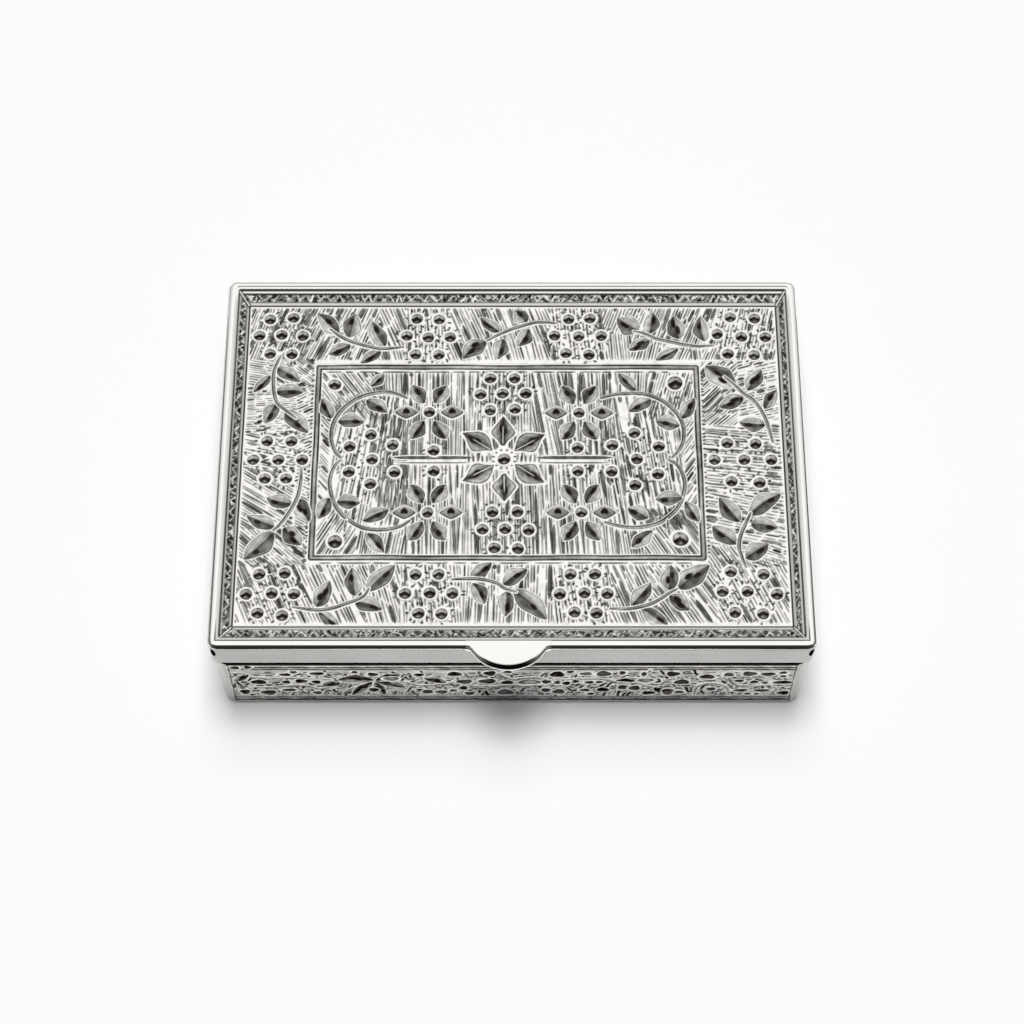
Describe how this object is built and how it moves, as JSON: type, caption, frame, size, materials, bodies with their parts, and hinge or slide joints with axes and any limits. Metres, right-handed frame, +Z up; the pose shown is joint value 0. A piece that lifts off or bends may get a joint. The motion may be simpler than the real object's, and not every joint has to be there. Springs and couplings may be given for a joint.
{
  "type": "table box",
  "caption": "Shallow rectangular silver box for papers and keepsakes, with a hinged chased lid, a moulded rim, a thumb piece, tapered chased walls and a wood lining.",
  "frame": {"origin": "middle of the underside of the case, on the surface that the box stands on", "axes": "+X to the right along the width, +Y to the hinge at the back, +Z up; the thumb piece is at -Y"},
  "size_m": [0.15, 0.1135, 0.0357],
  "materials": {
    "polished_silver": "polished silver",
    "chased_silver": "chased silver, darkened in the cuts",
    "cedar": "waxed cedar"
  },
  "bodies": {
    "case": {"case_wall": "chased_silver", "base_plate": "polished_silver", "case_hinge_bearer": "polished_silver", "case_knuckle_1": "polished_silver", "case_knuckle_2": "polished_silver", "case_knuckle_3": "polished_silver", "case_knuckle_4": "polished_silver", "hinge_pin": "polished_silver", "lining_floor": "cedar", "lining_front": "cedar", "lining_back": "cedar", "lining_left": "cedar", "lining_right": "cedar"},
    "lid": {"lid_band": "polished_silver", "lid_rim": "polished_silver", "lid_panel": "chased_silver", "thumb_piece": "polished_silver", "lid_hinge_bearer": "polished_silver", "lid_knuckle_1": "polished_silver", "lid_knuckle_2": "polished_silver", "lid_knuckle_3": "polished_silver", "lid_lining": "cedar"}
  },
  "joints": [
    {"name": "lid_hinge", "type": "hinge", "parent": "case", "child": "lid", "pos_m": [0, 0.0528, 0.02625], "axis": [-1, 0, 0], "range_deg": [0, 105]}
  ]
}
